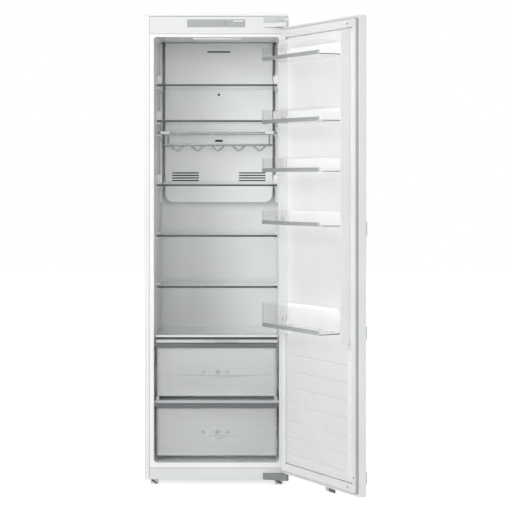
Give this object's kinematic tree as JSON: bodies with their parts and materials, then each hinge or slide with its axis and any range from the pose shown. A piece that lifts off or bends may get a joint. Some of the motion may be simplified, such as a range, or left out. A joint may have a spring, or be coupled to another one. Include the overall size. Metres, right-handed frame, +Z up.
{
  "type": "built-in larder refrigerator",
  "caption": "Tall built-in larder refrigerator shown with its door open, with glass shelves, a bottle rack, drawers and door balconies.",
  "frame": {"origin": "on the niche floor, on the centre line, straight below the cabinet's front edge", "axes": "+X to the right seen from the front, +Y into the cabinet, +Z up"},
  "size_m": [0.8032, 0.9912, 1.77],
  "materials": {
    "white_steel": "satin white lacquer",
    "zinc_steel": "galvanised",
    "white_liner": "white vacuum-formed sheet with a low sheen",
    "foam": "rigid foam",
    "white_plastic": "satin white moulding",
    "grey_panel": "light grey printed panel",
    "hinge_grey": "dark grey cover",
    "foot_white": "white plastic",
    "gasket_grey": "soft light grey seal",
    "lens": "frosted lens",
    "fin_metal": "bare",
    "fan_black": "black plastic",
    "glass": "clear safety glass",
    "shelf_trim": "grey edge trim",
    "rack_chrome": "chromed wire",
    "clip_white": "white clip",
    "drawer_clear": "frosted clear plastic",
    "grip_grey": "dark silver strip",
    "slider_grey": "grey",
    "compressor_black": "black enamel",
    "grommet_rubber": "black",
    "tray_grey": "grey",
    "copper": "bare copper tube",
    "balcony_clear": "clear plastic",
    "band_silver": "silver-grey strip",
    "bush_white": "natural plastic"
  },
  "bodies": {
    "cabinet": {"outer_case": "white_steel", "rear_panel": "zinc_steel", "base_plate": "zinc_steel", "inner_liner": "white_liner", "insulation_foam": "foam", "condenser_tube": "copper", "control_fascia": "white_plastic", "control_panel": "grey_panel", "bottom_fascia": "white_plastic", "top_hinge": "white_steel", "bottom_hinge": "hinge_grey", "rear_feet": "foot_white", "lamp_lens": "lens", "duct_cover": "white_liner", "evaporator": "fin_metal", "fan_frame": "fan_black", "crisper_cover": "glass", "crisper_trim": "white_plastic", "drawer_divider": "white_plastic", "compressor": "compressor_black", "compressor_grommets": "grommet_rubber", "drip_tray": "tray_grey", "terminal_box": "tray_grey"},
    "door": {"door_panel": "white_steel", "door_foam": "foam", "door_liner": "white_liner", "door_gasket": "gasket_grey", "door_bushes": "bush_white", "furniture_brackets": "zinc_steel"},
    "bottle_rack_body": {"bottle_rack": "rack_chrome", "rack_clips": "clip_white"},
    "upper_drawer_body": {"upper_drawer": "drawer_clear", "upper_drawer_grip": "grip_grey"},
    "lower_drawer_body": {"lower_drawer": "drawer_clear", "lower_drawer_grip": "grip_grey"},
    "slider_body": {"humidity_slider": "slider_grey"},
    "button_body": {"set_button": "grey_panel"},
    "rotor_body": {"fan_rotor": "fan_black"},
    "left_foot_body": {"left_foot": "foot_white"},
    "right_foot_body": {"right_foot": "foot_white"},
    "shelf_1_body": {"shelf_1": "glass", "shelf_1_trim": "shelf_trim"},
    "balcony_1_body": {"balcony_1": "balcony_clear", "balcony_1_band": "band_silver"},
    "shelf_2_body": {"shelf_2": "glass", "shelf_2_trim": "shelf_trim"},
    "balcony_2_body": {"balcony_2": "balcony_clear", "balcony_2_band": "band_silver"},
    "shelf_3_body": {"shelf_3": "glass", "shelf_3_trim": "shelf_trim"},
    "balcony_3_body": {"balcony_3": "balcony_clear", "balcony_3_band": "band_silver"},
    "shelf_4_body": {"shelf_4": "glass", "shelf_4_trim": "shelf_trim"},
    "balcony_4_body": {"balcony_4": "balcony_clear", "balcony_4_band": "band_silver"},
    "shelf_5_body": {"shelf_5": "glass", "shelf_5_trim": "shelf_trim"},
    "balcony_5_body": {"balcony_5": "balcony_clear", "balcony_5_band": "band_silver"}
  },
  "joints": [
    {"name": "door_swing", "type": "hinge", "parent": "cabinet", "child": "door", "pos_m": [0.259, -0.02, 0], "axis": [0, 0, 1], "range_deg": [-118.5, 0]},
    {"name": "upper_drawer_slide", "type": "slide", "parent": "cabinet", "child": "upper_drawer_body", "axis": [0, -1, 0], "range_m": [0, 0.28]},
    {"name": "lower_drawer_slide", "type": "slide", "parent": "cabinet", "child": "lower_drawer_body", "axis": [0, -1, 0], "range_m": [0, 0.17]},
    {"name": "slider_slide", "type": "slide", "parent": "cabinet", "child": "slider_body", "axis": [-1, 0, 0], "range_m": [0, 0.04]},
    {"name": "button_press", "type": "slide", "parent": "cabinet", "child": "button_body", "axis": [0, 1, 0], "range_m": [0, 0.0008], "stiffness_N_per_m": 600},
    {"name": "rotor_spin", "type": "hinge", "parent": "cabinet", "child": "rotor_body", "pos_m": [0, 0.44, 1.56], "axis": [0, 1, 0], "continuous": true},
    {"name": "left_foot_screw", "type": "slide", "parent": "cabinet", "child": "left_foot_body", "axis": [0, 0, -1], "range_m": [0, 0.015]},
    {"name": "right_foot_screw", "type": "slide", "parent": "cabinet", "child": "right_foot_body", "axis": [0, 0, -1], "range_m": [0, 0.015]},
    {"name": "rack_slide", "type": "slide", "parent": "cabinet", "child": "bottle_rack_body", "axis": [0, -1, 0], "range_m": [0, 0.12]},
    {"name": "shelf_1_slide", "type": "slide", "parent": "cabinet", "child": "shelf_1_body", "axis": [0, -1, 0], "range_m": [0, 0.12]},
    {"name": "shelf_2_slide", "type": "slide", "parent": "cabinet", "child": "shelf_2_body", "axis": [0, -1, 0], "range_m": [0, 0.12]},
    {"name": "shelf_3_slide", "type": "slide", "parent": "cabinet", "child": "shelf_3_body", "axis": [0, -1, 0], "range_m": [0, 0.12]},
    {"name": "shelf_4_slide", "type": "slide", "parent": "cabinet", "child": "shelf_4_body", "axis": [0, -1, 0], "range_m": [0, 0.12]},
    {"name": "shelf_5_slide", "type": "slide", "parent": "cabinet", "child": "shelf_5_body", "axis": [0, -1, 0], "range_m": [0, 0.12]},
    {"name": "balcony_1_lift", "type": "slide", "parent": "door", "child": "balcony_1_body", "axis": [0, 0, 1], "range_m": [0, 0.03]},
    {"name": "balcony_2_lift", "type": "slide", "parent": "door", "child": "balcony_2_body", "axis": [0, 0, 1], "range_m": [0, 0.03]},
    {"name": "balcony_3_lift", "type": "slide", "parent": "door", "child": "balcony_3_body", "axis": [0, 0, 1], "range_m": [0, 0.03]},
    {"name": "balcony_4_lift", "type": "slide", "parent": "door", "child": "balcony_4_body", "axis": [0, 0, 1], "range_m": [0, 0.03]},
    {"name": "balcony_5_lift", "type": "slide", "parent": "door", "child": "balcony_5_body", "axis": [0, 0, 1], "range_m": [0, 0.03]}
  ]
}
